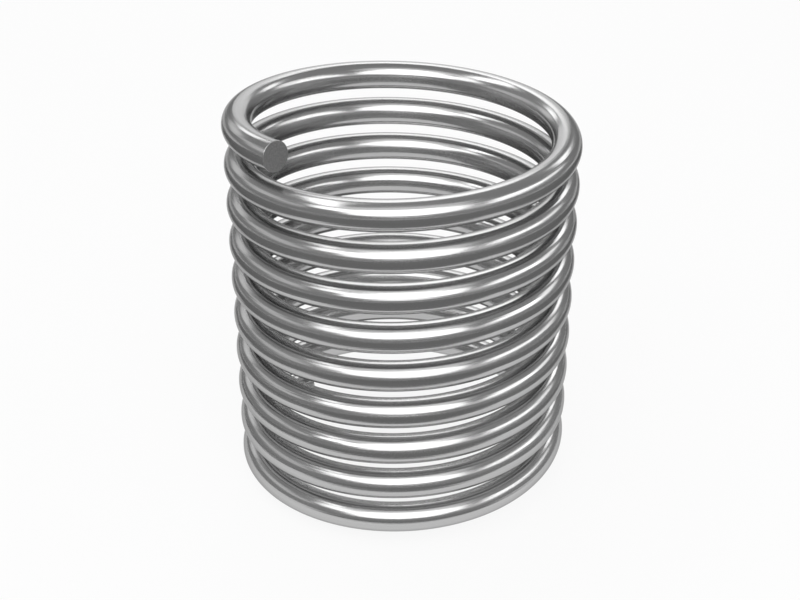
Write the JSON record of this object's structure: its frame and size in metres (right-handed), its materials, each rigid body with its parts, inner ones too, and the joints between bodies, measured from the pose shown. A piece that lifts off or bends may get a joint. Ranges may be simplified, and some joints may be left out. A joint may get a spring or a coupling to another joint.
{
  "type": "compression spring",
  "caption": "Open-coil cylindrical compression spring of round steel wire, right-hand wound at constant pitch, with plain square-cut ends.",
  "frame": {"origin": "on the coil axis, in the plane that the lower wire end stands on", "axes": "+Z along the coil axis from the lower wire end to the upper one; the lower cut end is on -X and the upper one on -Y"},
  "size_m": [0.019, 0.019, 0.0222],
  "materials": {
    "spring_steel": "bright hard-drawn spring steel wire, smooth and mirror-like round the coil, with duller cut end faces"
  },
  "bodies": {
    "root": {"spring_wire": "spring_steel"}
  },
  "joints": []
}
